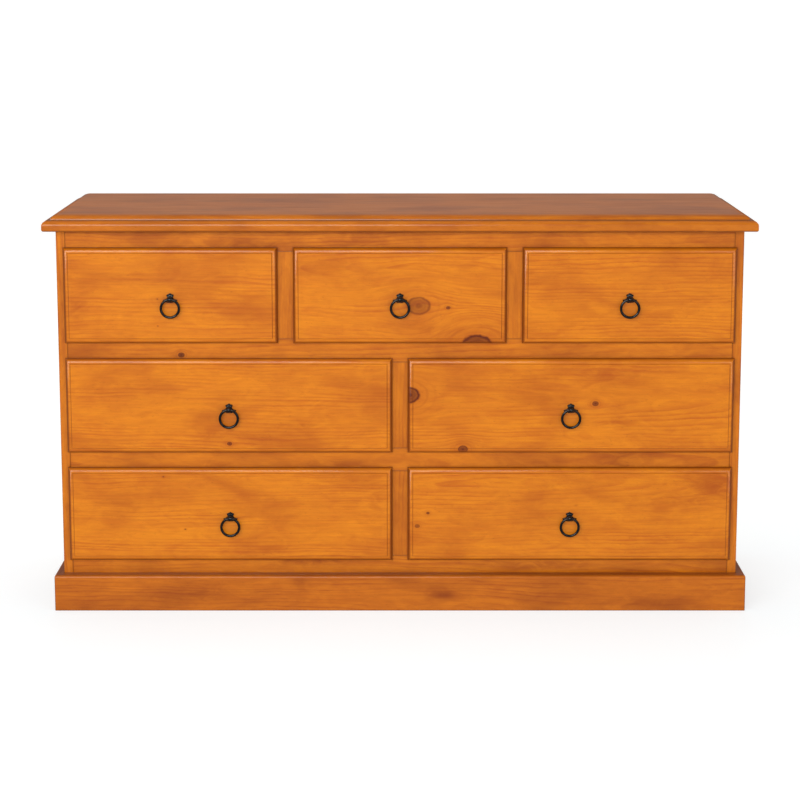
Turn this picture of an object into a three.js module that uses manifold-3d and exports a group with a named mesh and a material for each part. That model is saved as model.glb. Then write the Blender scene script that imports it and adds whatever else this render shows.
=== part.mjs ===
// A seven-drawer dresser in lacquered pine, with iron ring pulls.
// Millimetres, +X to the right, +Y to the back, +Z up. The origin lies on the floor, in the middle
// of the overall width and depth, with the pulls' eyes counted in the depth.
import * as THREE from 'three';
import { mergeVertices } from 'three/addons/utils/BufferGeometryUtils.js';
import Module from 'manifold-3d';

// ---------- driving dimensions: carcass ----------
const WIDTH = 1500; // over the top's moulding
const DEPTH = 450; // from the top's front edge to the back
const HEIGHT = 855;
const TOP_THICKNESS = 34;
const TOP_OVERHANG = 25; // past the carcass, in front and at each side
const TOP_ROUND_INNER = 35; // upper round, inset where it leaves the flat top
const TOP_ROUND_OUTER = 16.5; // and inset where it meets the step
const TOP_ROUND_DEPTH = 10.5;
const TOP_STEP = 3; // flat step between the upper round and the nose
const TOP_NOSE_DEPTH = 21.5; // where the nose's round ends and its face drops straight
const TOP_LOWER_RADIUS = 4.5;
const SIDE_THICKNESS = 20;
const SIDE_EDGE_RADIUS = 4.5;
const FRAME_THICKNESS = 20; // rails and dividers, front to back
const REVEAL = 32; // frame that shows between two drawer fronts
const FRAME_OVERLAP = 9; // how far a drawer front covers the rails and dividers
const SIDE_OVERLAP = 5; // how far it covers the side panels' front edges
const BACK_THICKNESS = 6;
const BACK_INSET = 4; // back panel's face, in from the rear edges

// ---------- driving dimensions: plinth ----------
const PLINTH_HEIGHT = 78;
const PLINTH_FRONT_THICKNESS = 24;
const PLINTH_SIDE_THICKNESS = 18;
const PLINTH_RADIUS = 6;
const MITRE_GAP = 0.3;

// ---------- driving dimensions: drawers ----------
const ROWS = [3, 2, 2]; // drawers in each row, from the top down
const TOP_ROW_TOP = 786; // upper edge of the top row's fronts
const FRONT_HEIGHT = 205;
const FRONT_PROUD = 14; // front face, ahead of the frame
const FRONT_BORDER = 12; // moulded border, from the outer edge to the flat field
const FRONT_STEP_DEPTH = 1.2; // small step down from the field
const FRONT_STEP_RUN = 0.8; // how far the step leans out
const FRONT_STEP_LAND = 0.4; // flat below the step
const FRONT_ROUND_DEPTH = 12.2; // where the border's round ends at the outer edge
const FRONT_CLEARANCE = 0.5; // behind a closed front
const BOTTOM_RAIL_FOOT = 56;
const BOX_HEIGHT = 160;
const BOX_WALL = 12;
const BOX_LENGTH = 390;
const BOX_SIDE_CLEARANCE = 1.5;
const BOX_LIFT = 0.5; // running clearance over the runners
const PANEL_THICKNESS = 6; // the drawer's bottom panel
const PANEL_RISE = 9; // its underside, above the walls' lower edge
const PANEL_TONGUE = 6; // how far it sits in the walls' groove
const PANEL_CLEARANCE = 0.25;

// ---------- driving dimensions: runners ----------
const RUNNER_HEIGHT = 20;
const SIDE_RUNNER_WIDTH = 20;
const CENTRE_RUNNER_WIDTH = 90;
const GUIDE_WIDTH = 40;
const GUIDE_HEIGHT = 18;

// ---------- driving dimensions: ring pulls ----------
const PULL_DROP = 6; // eye, below the middle of the front
const PLATE_THICKNESS = 2.5;
const PLATE_BEVEL = 0.8;
const EYE_STANDOFF = 9; // eye's centre, ahead of the front's face
const EYE_RADIUS = 5.5;
const EYE_STRETCH = 1.1; // the eye is a little wider than it is high
const EYE_HOLE_RADIUS = 3.4;
const NECK_RADIUS = 3.6; // joins the eye to the plate
const NECK_START = 3.6; // its front end, behind the eye's centre
const RING_RADIUS = 19; // to the middle of the wire
const WIRE_RADIUS = 2.9;
const SHANK_RADIUS = 2.5;
const SHANK_CLEARANCE = 0.5;
const SHANK_END = 10; // thread that stands out inside the drawer

// ---------- curve resolution ----------
const MOULDING_STEPS = 5;
const NOSE_STEPS = 6;
const LOWER_ROUND_STEPS = 3;
const ARC_SEGMENTS = 5;
const HOLE_SEGMENTS = 12;
const ROD_SEGMENTS = 8;
const EYE_SEGMENTS = [12, 8];
const EYE_HOLE_STEPS = 4;
const RING_SEGMENTS = [8, 24];
const OVERSHOOT = 1; // how far a cutter runs past the faces it cuts

// ---------- positions that follow ----------
const CARCASS_HALF = WIDTH / 2 - TOP_OVERHANG;
const PANEL_INNER = CARCASS_HALF - SIDE_THICKNESS;
const TOP_UNDERSIDE = HEIGHT - TOP_THICKNESS;
const FRAME_FRONT = TOP_OVERHANG; // with 0 at the top's front edge
const FRAME_BACK = FRAME_FRONT + FRAME_THICKNESS;
const BACK_FACE = DEPTH - BACK_INSET;
const BACK_FRONT = BACK_FACE - BACK_THICKNESS;
const FRONT_FACE = FRAME_FRONT - FRONT_PROUD;
const FRONT_BACK = FRAME_FRONT - FRONT_CLEARANCE;
const EYE_Y = FRONT_FACE - EYE_STANDOFF;
const FOREMOST = EYE_Y - EYE_RADIUS;
const FRONTS_SPAN = 2 * (PANEL_INNER + SIDE_OVERLAP);
const FRAME_MEMBER = REVEAL + 2 * FRAME_OVERLAP;

// ---------- finishes ----------
const FINISHES = {
  pineFront: { color: 0xd8822f, roughness: 0.38, metalness: 0 },
  pineFrame: { color: 0xcc7426, roughness: 0.4, metalness: 0 },
  pineTop: { color: 0xc87a3c, roughness: 0.32, metalness: 0 },
  pinePlinth: { color: 0xcd7524, roughness: 0.42, metalness: 0 },
  pineRaw: { color: 0xdcb887, roughness: 0.75, metalness: 0 },
  plywood: { color: 0xcfa46d, roughness: 0.7, metalness: 0 },
  iron: { color: 0x16171a, roughness: 0.42, metalness: 0.85 },
};

const wasm = await Module();
wasm.setup();

const dresser = new THREE.Group();
dresser.position.y = -(DEPTH + FOREMOST) / 2;

// ---------- geometry helpers ----------

function addPiece(name, geometry, finish, parent = dresser) {
  const mesh = new THREE.Mesh(geometry, new THREE.MeshStandardMaterial(FINISHES[finish]));
  mesh.name = name;
  parent.add(mesh);
  return mesh;
}

// A box between two corners.
function boxBetween(low, high) {
  const size = high.map((value, axis) => value - low[axis]);
  const centre = high.map((value, axis) => (value + low[axis]) / 2);
  return new THREE.BoxGeometry(...size).translate(...centre);
}

// The solid of a closed mesh, ready to be joined or cut.
function toSolid(geometry) {
  const bare = geometry.clone();
  bare.deleteAttribute('normal');
  bare.deleteAttribute('uv');
  const merged = mergeVertices(bare);
  return new wasm.Manifold(new wasm.Mesh({
    numProp: 3,
    vertProperties: new Float32Array(merged.attributes.position.array),
    triVerts: new Uint32Array(merged.index.array),
  }));
}

function toGeometry(solid) {
  const { vertProperties, triVerts } = solid.getMesh();
  const geometry = new THREE.BufferGeometry();
  geometry.setAttribute('position', new THREE.BufferAttribute(vertProperties, 3));
  geometry.setIndex(new THREE.BufferAttribute(triVerts, 1));
  geometry.computeVertexNormals();
  return geometry;
}

function cutAway(geometry, ...tools) {
  return toGeometry(tools.reduce((solid, tool) => solid.subtract(toSolid(tool)), toSolid(geometry)));
}

function joined(...geometries) {
  return toGeometry(geometries.map(toSolid).reduce((total, solid) => total.add(solid)));
}

// A closed body through a list of outlines, each a list of Vector3 with the same count of points.
// Successive outlines run away from the first one's outward normal.
function stackOutlines(outlines) {
  const count = outlines[0].length;
  const positions = outlines.flat().flatMap((point) => [point.x, point.y, point.z]);
  const index = [];
  for (let layer = 0; layer < outlines.length - 1; layer += 1) {
    for (let i = 0; i < count; i += 1) {
      const next = (i + 1) % count;
      const near = layer * count;
      const far = near + count;
      index.push(near + i, far + i, near + next);
      index.push(near + next, far + i, far + next);
    }
  }
  const last = (outlines.length - 1) * count;
  for (let i = 1; i < count - 1; i += 1) {
    index.push(0, i, i + 1);
    index.push(last, last + i + 1, last + i);
  }
  const geometry = new THREE.BufferGeometry();
  geometry.setAttribute('position', new THREE.Float32BufferAttribute(positions, 3));
  geometry.setIndex(index);
  geometry.computeVertexNormals();
  return geometry;
}

// Points of a quarter ellipse in (inset, depth) from its high inner end to its low outer end.
function quarterRound(innerInset, startDepth, outerInset, endDepth, steps) {
  const points = [];
  for (let step = 0; step <= steps; step += 1) {
    const angle = (step / steps) * (Math.PI / 2);
    const inset = innerInset - (innerInset - outerInset) * Math.sin(angle);
    const depth = endDepth - (endDepth - startDepth) * Math.cos(angle);
    points.push([inset, depth]);
  }
  return points;
}

// A cylinder along Y between two stations.
function rodAlongY(radius, x, z, yStart, yEnd, segments = HOLE_SEGMENTS) {
  return new THREE.CylinderGeometry(radius, radius, yEnd - yStart, segments)
    .translate(x, (yStart + yEnd) / 2, z);
}

// ---------- carcass ----------

// Top board: moulded on the front and both sides, square at the back.
// The moulding is a long upper round, a small step, a full ovolo and an eased lower edge.
function topBoard() {
  const noseInner = TOP_ROUND_OUTER - TOP_STEP;
  const profile = [
    ...quarterRound(TOP_ROUND_INNER, 0, TOP_ROUND_OUTER, TOP_ROUND_DEPTH, MOULDING_STEPS),
    ...quarterRound(noseInner, TOP_ROUND_DEPTH, 0, TOP_NOSE_DEPTH, NOSE_STEPS),
  ];
  for (let step = 0; step <= LOWER_ROUND_STEPS; step += 1) {
    const angle = (step / LOWER_ROUND_STEPS) * (Math.PI / 2);
    const inset = TOP_LOWER_RADIUS * (1 - Math.cos(angle));
    const depth = TOP_THICKNESS - TOP_LOWER_RADIUS * (1 - Math.sin(angle));
    profile.push([inset, depth]);
  }
  const outlines = profile.map(([inset, depth]) => {
    const x = WIDTH / 2 - inset;
    const z = HEIGHT - depth;
    return [
      new THREE.Vector3(-x, inset, z),
      new THREE.Vector3(x, inset, z),
      new THREE.Vector3(x, DEPTH, z),
      new THREE.Vector3(-x, DEPTH, z),
    ];
  });
  return stackOutlines(outlines);
}

// Side panel: one board from the floor to the top, its outer front corner rounded.
function sidePanel(sign) {
  const outline = new THREE.Shape();
  outline.moveTo(PANEL_INNER, FRAME_FRONT);
  outline.lineTo(CARCASS_HALF - SIDE_EDGE_RADIUS, FRAME_FRONT);
  outline.absarc(
    CARCASS_HALF - SIDE_EDGE_RADIUS,
    FRAME_FRONT + SIDE_EDGE_RADIUS,
    SIDE_EDGE_RADIUS,
    -Math.PI / 2,
    0,
    false,
  );
  outline.lineTo(CARCASS_HALF, DEPTH);
  outline.lineTo(PANEL_INNER, DEPTH);
  outline.closePath();
  const panel = new THREE.ExtrudeGeometry(outline, {
    depth: TOP_UNDERSIDE,
    bevelEnabled: false,
    curveSegments: ARC_SEGMENTS,
  });
  return sign > 0 ? panel : mirroredInX(panel);
}

// The mirror image in X of a geometry, with its faces turned back to point outwards.
function mirroredInX(geometry) {
  const mirror = geometry.index ? geometry.toNonIndexed() : geometry.clone();
  mirror.scale(-1, 1, 1);
  const position = mirror.attributes.position;
  for (let i = 0; i < position.count; i += 3) {
    const corner = new THREE.Vector3().fromBufferAttribute(position, i + 1);
    const other = new THREE.Vector3().fromBufferAttribute(position, i + 2);
    position.setXYZ(i + 1, other.x, other.y, other.z);
    position.setXYZ(i + 2, corner.x, corner.y, corner.z);
  }
  mirror.computeVertexNormals();
  return mirror;
}

const SIDES = [
  { label: 'left', sign: -1 },
  { label: 'right', sign: 1 },
];

// The layout of each row: its fronts' upper and lower edges, and the opening behind them.
const rowLayouts = ROWS.map((count, row) => {
  const top = TOP_ROW_TOP - row * (FRONT_HEIGHT + REVEAL);
  const bottom = top - FRONT_HEIGHT;
  return {
    count,
    top,
    bottom,
    openingTop: top - FRAME_OVERLAP,
    openingBottom: bottom + FRAME_OVERLAP,
    frontWidth: (FRONTS_SPAN - (count - 1) * REVEAL) / count,
  };
});

// Middle of the divider to the right of a drawer.
function dividerX(row, column) {
  const pitch = row.frontWidth + REVEAL;
  return -FRONTS_SPAN / 2 + (column + 1) * pitch - REVEAL / 2;
}

function addCarcass() {
  addPiece('top_board', topBoard(), 'pineTop');
  for (const { label, sign } of SIDES) {
    addPiece(`side_panel_${label}`, sidePanel(sign), 'pineFrame');
  }
  addPiece(
    'back_panel',
    boxBetween([-PANEL_INNER, BACK_FRONT, BOTTOM_RAIL_FOOT], [PANEL_INNER, BACK_FACE, TOP_UNDERSIDE]),
    'plywood',
  );
}

function addRails() {
  const [upper, middle, lower] = rowLayouts;
  const spans = [
    ['rail_top', upper.openingTop, TOP_UNDERSIDE],
    ['rail_upper', middle.openingTop, upper.openingBottom],
    ['rail_lower', lower.openingTop, middle.openingBottom],
    ['rail_bottom', BOTTOM_RAIL_FOOT, lower.openingBottom],
  ];
  for (const [name, low, high] of spans) {
    const rail = boxBetween([-PANEL_INNER, FRAME_FRONT, low], [PANEL_INNER, FRAME_BACK, high]);
    addPiece(name, rail, 'pineFrame');
  }
}

// Centre runner: a flat bar with a raised guide that keeps the drawers on either side apart.
function centreRunner(x, runningSurface) {
  const bar = boxBetween(
    [x - CENTRE_RUNNER_WIDTH / 2, FRAME_BACK, runningSurface - RUNNER_HEIGHT],
    [x + CENTRE_RUNNER_WIDTH / 2, BACK_FRONT, runningSurface],
  );
  const guide = boxBetween(
    [x - GUIDE_WIDTH / 2, FRAME_BACK, runningSurface - RUNNER_HEIGHT / 2],
    [x + GUIDE_WIDTH / 2, BACK_FRONT, runningSurface + GUIDE_HEIGHT],
  );
  return joined(bar, guide);
}

function addDividersAndRunners() {
  rowLayouts.forEach((row, rowNumber) => {
    const rowName = `row${rowNumber + 1}`;
    for (let column = 0; column < row.count - 1; column += 1) {
      const x = dividerX(row, column);
      const name = `${rowName}_${column + 1}`;
      const divider = boxBetween(
        [x - FRAME_MEMBER / 2, FRAME_FRONT, row.openingBottom],
        [x + FRAME_MEMBER / 2, FRAME_BACK, row.openingTop],
      );
      addPiece(`divider_${name}`, divider, 'pineFrame');
      addPiece(`runner_centre_${name}`, centreRunner(x, row.openingBottom), 'pineRaw');
    }
    for (const { label, sign } of SIDES) {
      const inner = sign * (PANEL_INNER - SIDE_RUNNER_WIDTH);
      const outer = sign * PANEL_INNER;
      const runner = boxBetween(
        [Math.min(inner, outer), FRAME_BACK, row.openingBottom - RUNNER_HEIGHT],
        [Math.max(inner, outer), BACK_FRONT, row.openingBottom],
      );
      addPiece(`runner_${label}_${rowName}`, runner, 'pineRaw');
    }
  });
}

// ---------- plinth ----------

// A plinth board's section: flat back, flat bottom, and a rounded upper front edge.
// First coordinate is how far out from the carcass, second is the height.
function plinthSection(thickness) {
  const section = new THREE.Shape();
  section.moveTo(0, 0);
  section.lineTo(thickness, 0);
  section.lineTo(thickness, PLINTH_HEIGHT - PLINTH_RADIUS);
  section.absarc(
    thickness - PLINTH_RADIUS,
    PLINTH_HEIGHT - PLINTH_RADIUS,
    PLINTH_RADIUS,
    0,
    Math.PI / 2,
    false,
  );
  section.lineTo(0, PLINTH_HEIGHT);
  section.closePath();
  return section;
}

// The board is first run one unit long, and its two ends are then set out along the carcass.
const PLINTH_EXTRUSION = { depth: 1, bevelEnabled: false, curveSegments: ARC_SEGMENTS };
const isFarEnd = (alongExtrusion) => alongExtrusion > PLINTH_EXTRUSION.depth / 2;

// Front board: its ends are mitred, so each end runs out as the board comes forward.
function plinthFront() {
  const board = new THREE.ExtrudeGeometry(plinthSection(PLINTH_FRONT_THICKNESS), PLINTH_EXTRUSION);
  const position = board.attributes.position;
  for (let i = 0; i < position.count; i += 1) {
    const out = position.getX(i);
    const height = position.getY(i);
    const end = isFarEnd(position.getZ(i)) ? -1 : 1;
    const run = (out / PLINTH_FRONT_THICKNESS) * PLINTH_SIDE_THICKNESS;
    position.setXYZ(i, end * (CARCASS_HALF + run - MITRE_GAP), FRAME_FRONT - out, height);
  }
  return board;
}

// Side board: mitred against the front board, square at the back.
function plinthSide(sign) {
  const board = new THREE.ExtrudeGeometry(plinthSection(PLINTH_SIDE_THICKNESS), PLINTH_EXTRUSION);
  const position = board.attributes.position;
  for (let i = 0; i < position.count; i += 1) {
    const out = position.getX(i);
    const height = position.getY(i);
    const run = (out / PLINTH_SIDE_THICKNESS) * PLINTH_FRONT_THICKNESS;
    const y = isFarEnd(position.getZ(i)) ? FRAME_FRONT - run : DEPTH;
    position.setXYZ(i, CARCASS_HALF + out, y, height);
  }
  return sign > 0 ? board : mirroredInX(board);
}

function addPlinth() {
  addPiece('plinth_front', plinthFront(), 'pinePlinth');
  for (const { label, sign } of SIDES) {
    addPiece(`plinth_side_${label}`, plinthSide(sign), 'pinePlinth');
  }
}

// ---------- drawers ----------

// Drawer front: a flat field, a fine step, a rounded border and a square edge.
function drawerFront(x0, x1, z0, z1) {
  const stepFoot = FRONT_BORDER - FRONT_STEP_RUN;
  const roundInner = stepFoot - FRONT_STEP_LAND;
  const profile = [
    [FRONT_BORDER, 0],
    [stepFoot, FRONT_STEP_DEPTH],
    ...quarterRound(roundInner, FRONT_STEP_DEPTH, 0, FRONT_ROUND_DEPTH, MOULDING_STEPS),
    [0, FRONT_BACK - FRONT_FACE],
  ];
  const outlines = profile.map(([inset, depth]) => {
    const y = FRONT_FACE + depth;
    return [
      new THREE.Vector3(x0 + inset, y, z0 + inset),
      new THREE.Vector3(x1 - inset, y, z0 + inset),
      new THREE.Vector3(x1 - inset, y, z1 - inset),
      new THREE.Vector3(x0 + inset, y, z1 - inset),
    ];
  });
  return stackOutlines(outlines);
}

// Drawer box: four walls with a groove for the bottom panel.
function drawerBox(low, high) {
  const outside = boxBetween(low, high);
  const inside = boxBetween(
    [low[0] + BOX_WALL, low[1] + BOX_WALL, low[2] - OVERSHOOT],
    [high[0] - BOX_WALL, high[1] - BOX_WALL, high[2] + OVERSHOOT],
  );
  const { panelLow, panelHigh } = bottomPanelCorners(low, high);
  const groove = boxBetween(
    panelLow.map((value) => value - PANEL_CLEARANCE),
    panelHigh.map((value) => value + PANEL_CLEARANCE),
  );
  return { outside, tools: [inside, groove] };
}

function bottomPanelCorners(low, high) {
  const reach = BOX_WALL - PANEL_TONGUE;
  return {
    panelLow: [low[0] + reach, low[1] + reach, low[2] + PANEL_RISE],
    panelHigh: [high[0] - reach, high[1] - reach, low[2] + PANEL_RISE + PANEL_THICKNESS],
  };
}

// ---------- ring pulls ----------

// Half of the back plate's outline, right of the middle, from its top point down:
// a three-pointed crown, a waist, a barbed side lobe and a shallow foot.
const PLATE_HALF_OUTLINE = [
  [0, 13.2], [2.3, 11.2], [5, 10.4], [8, 8.8], [7.2, 6.4], [5.8, 4],
  [7.6, 1.4], [11.6, -0.8], [15.6, -1.6], [14.6, -4.2], [11.6, -5.6], [8.8, -6.2],
  [6.4, -7.6], [3, -8.1],
];

function plateShape() {
  const right = PLATE_HALF_OUTLINE.map(([x, z]) => new THREE.Vector2(x, z));
  const left = PLATE_HALF_OUTLINE.slice(1).reverse().map(([x, z]) => new THREE.Vector2(-x, z));
  return new THREE.Shape([...right, ...left].reverse());
}

// Back plate, ball eye and threaded shank in one casting. The eye's hole runs along X
// and widens outwards, so that the curved wire turns in it.
function pullPlate() {
  const plate = new THREE.ExtrudeGeometry(plateShape(), {
    depth: PLATE_THICKNESS - PLATE_BEVEL,
    bevelEnabled: true,
    bevelThickness: PLATE_BEVEL,
    bevelSize: PLATE_BEVEL,
    bevelOffset: -PLATE_BEVEL,
    bevelSegments: 1,
  });
  const aside = 2 * RING_RADIUS;
  const behind = boxBetween([-aside, -aside, -aside], [aside, aside, 0]);
  const flatBacked = cutAway(plate, behind);
  flatBacked.rotateX(Math.PI / 2);
  flatBacked.translate(0, FRONT_FACE, 0);
  const eye = new THREE.SphereGeometry(EYE_RADIUS, ...EYE_SEGMENTS)
    .scale(EYE_STRETCH, 1, 1)
    .translate(0, EYE_Y, 0);
  const insidePlate = FRONT_FACE - PLATE_THICKNESS / 2;
  const neck = rodAlongY(NECK_RADIUS, 0, 0, EYE_Y + NECK_START, insidePlate, ROD_SEGMENTS);
  const shankEnd = FRONT_BACK + BOX_WALL + SHANK_END;
  const shank = rodAlongY(SHANK_RADIUS, 0, 0, insidePlate, shankEnd, ROD_SEGMENTS);
  return cutAway(joined(flatBacked, eye, neck, shank), eyeHole());
}

function eyeHole() {
  const reach = EYE_RADIUS * EYE_STRETCH + OVERSHOOT;
  const profile = [new THREE.Vector2(0, -reach)];
  for (let step = 0; step <= EYE_HOLE_STEPS; step += 1) {
    const along = -reach + (2 * reach * step) / EYE_HOLE_STEPS;
    profile.push(new THREE.Vector2(EYE_HOLE_RADIUS + along ** 2 / (2 * RING_RADIUS), along));
  }
  profile.push(new THREE.Vector2(0, reach));
  return new THREE.LatheGeometry(profile, HOLE_SEGMENTS)
    .rotateZ(Math.PI / 2)
    .translate(0, EYE_Y, 0);
}

// The ring hangs with its wire's upper middle at the eye.
function pullRing() {
  return new THREE.TorusGeometry(RING_RADIUS, WIRE_RADIUS, ...RING_SEGMENTS)
    .rotateX(Math.PI / 2)
    .translate(0, EYE_Y, -RING_RADIUS);
}

function addDrawer(name, row, column) {
  const x0 = -FRONTS_SPAN / 2 + column * (row.frontWidth + REVEAL);
  const x1 = x0 + row.frontWidth;
  const openingLeft = column === 0 ? -PANEL_INNER : x0 + FRAME_OVERLAP;
  const openingRight = column === row.count - 1 ? PANEL_INNER : x1 - FRAME_OVERLAP;
  const boxFoot = row.openingBottom + BOX_LIFT;
  const low = [openingLeft + BOX_SIDE_CLEARANCE, FRONT_BACK, boxFoot];
  const high = [openingRight - BOX_SIDE_CLEARANCE, FRONT_BACK + BOX_LENGTH, boxFoot + BOX_HEIGHT];
  const eyeX = (x0 + x1) / 2;
  const eyeZ = (row.top + row.bottom) / 2 - PULL_DROP;

  const hole = rodAlongY(
    SHANK_RADIUS + SHANK_CLEARANCE,
    eyeX,
    eyeZ,
    FRONT_FACE - OVERSHOOT,
    FRONT_BACK + BOX_WALL + OVERSHOOT,
  );
  const front = cutAway(drawerFront(x0, x1, row.bottom, row.top), hole);
  addPiece(`${name}_front`, front, 'pineFront');

  const { outside, tools } = drawerBox(low, high);
  addPiece(`${name}_box`, cutAway(outside, ...tools, hole), 'pineRaw');

  const { panelLow, panelHigh } = bottomPanelCorners(low, high);
  addPiece(`${name}_bottom`, boxBetween(panelLow, panelHigh), 'plywood');

  const pull = new THREE.Group();
  pull.position.set(eyeX, 0, eyeZ);
  dresser.add(pull);
  addPiece(`${name}_pull_plate`, pullPlate(), 'iron', pull);
  addPiece(`${name}_pull_ring`, pullRing(), 'iron', pull);
}

addCarcass();
addRails();
addDividersAndRunners();
addPlinth();

let drawerNumber = 0;
for (const row of rowLayouts) {
  for (let column = 0; column < row.count; column += 1) {
    drawerNumber += 1;
    addDrawer(`drawer${drawerNumber}`, row, column);
  }
}

export default dresser;
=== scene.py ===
# The dresser's visible surfaces and a plain studio, in metres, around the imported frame.
import math
from collections import namedtuple

import bmesh
import bpy
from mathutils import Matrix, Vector, noise


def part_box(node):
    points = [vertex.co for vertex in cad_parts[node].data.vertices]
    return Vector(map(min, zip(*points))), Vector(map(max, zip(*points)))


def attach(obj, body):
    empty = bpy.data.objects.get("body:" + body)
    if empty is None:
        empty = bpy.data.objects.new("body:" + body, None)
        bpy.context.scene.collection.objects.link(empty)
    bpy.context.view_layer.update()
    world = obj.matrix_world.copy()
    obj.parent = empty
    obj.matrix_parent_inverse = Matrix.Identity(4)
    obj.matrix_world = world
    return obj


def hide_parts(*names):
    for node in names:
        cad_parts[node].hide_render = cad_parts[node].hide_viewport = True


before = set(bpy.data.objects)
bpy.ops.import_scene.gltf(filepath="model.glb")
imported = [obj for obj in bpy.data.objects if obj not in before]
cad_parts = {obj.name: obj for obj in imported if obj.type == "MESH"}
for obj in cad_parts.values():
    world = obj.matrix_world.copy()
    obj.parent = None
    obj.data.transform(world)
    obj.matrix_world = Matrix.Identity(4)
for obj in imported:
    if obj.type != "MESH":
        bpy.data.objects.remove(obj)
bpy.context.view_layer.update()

MM = 0.001
X, Y, Z = 0, 1, 2
scene = bpy.context.scene

# ---------- driving dimensions, repeated from the CAD in millimetres ----------
TOP_ROUND_INNER = 35.0
TOP_ROUND_OUTER = 16.5
TOP_ROUND_DEPTH = 10.5
TOP_STEP = 3.0
TOP_NOSE_DEPTH = 21.5
TOP_LOWER_ROUND = 4.5
FRONT_BORDER = 12.0
FRONT_STEP = 1.2
FRONT_ROUND_INNER = 10.8
FRONT_ROUND_DEPTH = 12.2
PLINTH_RADIUS = 6.0
SIDE_EDGE_RADIUS = 4.5
BOX_WALL = 12.0
EYE_STANDOFF = 9.0
EYE_RADIUS = 5.5
EYE_STRETCH = 1.1
EYE_HOLE = 3.4
NECK_RADIUS = 3.6
PLATE_THICKNESS = 2.5
RING_RADIUS = 19.0
WIRE_RADIUS = 2.9
SHANK_RADIUS = 2.5
ROWS = (3, 2, 2)


# ---------- colours ----------

def srgb(red, green, blue):
    """A display colour, 0 to 255 in each channel, as a linear RGBA tuple."""
    def linear(value):
        value /= 255
        return value / 12.92 if value <= 0.04045 else ((value + 0.055) / 1.055) ** 2.4
    return (linear(red), linear(green), linear(blue), 1.0)


# ---------- node helper ----------

class Graph:
    """Short calls for building one material's node tree."""

    def __init__(self, name):
        self.material = bpy.data.materials.new(name)
        self.material.use_nodes = True
        self.tree = self.material.node_tree
        self.tree.nodes.clear()

    def add(self, kind, **settings):
        node = self.tree.nodes.new(kind)
        for key, value in settings.items():
            setattr(node, key, value)
        return node

    def feed(self, socket, value):
        if isinstance(value, bpy.types.NodeSocket):
            self.tree.links.new(value, socket)
        else:
            socket.default_value = value

    def math(self, operation, *values, clamp=False):
        node = self.add("ShaderNodeMath", operation=operation, use_clamp=clamp)
        for socket, value in zip(node.inputs, values):
            self.feed(socket, value)
        return node.outputs[0]

    def sum(self, first, *others):
        for other in others:
            first = self.math("ADD", first, other)
        return first

    def vector(self, x, y, z):
        node = self.add("ShaderNodeCombineXYZ")
        for socket, value in zip(node.inputs, (x, y, z)):
            self.feed(socket, value)
        return node.outputs[0]

    def noise(self, vector, detail=2.0, roughness=0.5, distortion=0.0):
        node = self.add("ShaderNodeTexNoise", noise_dimensions="3D")
        self.feed(node.inputs["Vector"], vector)
        self.feed(node.inputs["Scale"], 1.0)
        self.feed(node.inputs["Detail"], detail)
        self.feed(node.inputs["Roughness"], roughness)
        self.feed(node.inputs["Distortion"], distortion)
        return node.outputs["Fac"]

    def step(self, value, low, high, to_low=0.0, to_high=1.0):
        node = self.add("ShaderNodeMapRange", interpolation_type="SMOOTHSTEP", clamp=True)
        for socket, part in zip(node.inputs, (value, low, high, to_low, to_high)):
            self.feed(socket, part)
        return node.outputs[0]

    def mix(self, factor, first, second, blend="MIX"):
        node = self.add("ShaderNodeMix", data_type="RGBA", blend_type=blend)
        self.feed(node.inputs[0], factor)
        self.feed(node.inputs[6], first)
        self.feed(node.inputs[7], second)
        return node.outputs[2]

    def random(self, value):
        node = self.add("ShaderNodeTexWhiteNoise", noise_dimensions="1D")
        self.feed(node.inputs["W"], value)
        return node.outputs["Value"]

    def bump(self, height, distance, strength=1.0, below=None):
        node = self.add("ShaderNodeBump")
        self.feed(node.inputs["Strength"], strength)
        self.feed(node.inputs["Distance"], distance)
        self.feed(node.inputs["Height"], height)
        if below is not None:
            self.feed(node.inputs["Normal"], below)
        return node.outputs[0]

    def surface(self, **values):
        """A Principled surface; a name such as Base_Color means the socket Base Color."""
        shader = self.add("ShaderNodeBsdfPrincipled")
        for key, value in values.items():
            self.feed(shader.inputs[key.replace("_", " ")], value)
        output = self.add("ShaderNodeOutputMaterial")
        self.tree.links.new(shader.outputs[0], output.inputs["Surface"])
        return self.material


# ---------- wood ----------

# A board's figure. centre is a point on it; along, across and depth are its axes by number.
# The pith line runs beside the grain: pith_across and pith_depth place it, and pith_tilt leans it,
# which opens the rings into pointed arches. knots are (along, across, radius, darkness) in metres.
# smudges are (along, across, half length, half width, strength).
# strip is the width of the glued staves, or 0 for one wide board. half holds the half length and
# half width between the arrises, which are darkened: dark joints, and painted shade on the fronts' outer
# edges.
Board = namedtuple(
    "Board",
    "centre half along across depth pith_across pith_depth pith_tilt seed knots smudges strip",
)
OPEN_EDGES = (9.0, 9.0)  # half sizes of a board whose arrises show no gathered stain


def board_at(node, axes, pith, seed, knots=(), smudges=(), strip=0.0, half=None):
    """The board that fills a CAD node's box; axes are (along, across, depth), pith its three values."""
    low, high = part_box(node)
    size = high - low
    half = half or (size[axes[0]] / 2, size[axes[1]] / 2)
    return Board((low + high) / 2, half, *axes, *pith, seed, knots, smudges, strip)


# end is the colour of end grain, and also of the painted shade on faces turned downward.
Stain = namedtuple("Stain", "early late streak knot end gloss coat contrast")

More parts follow.
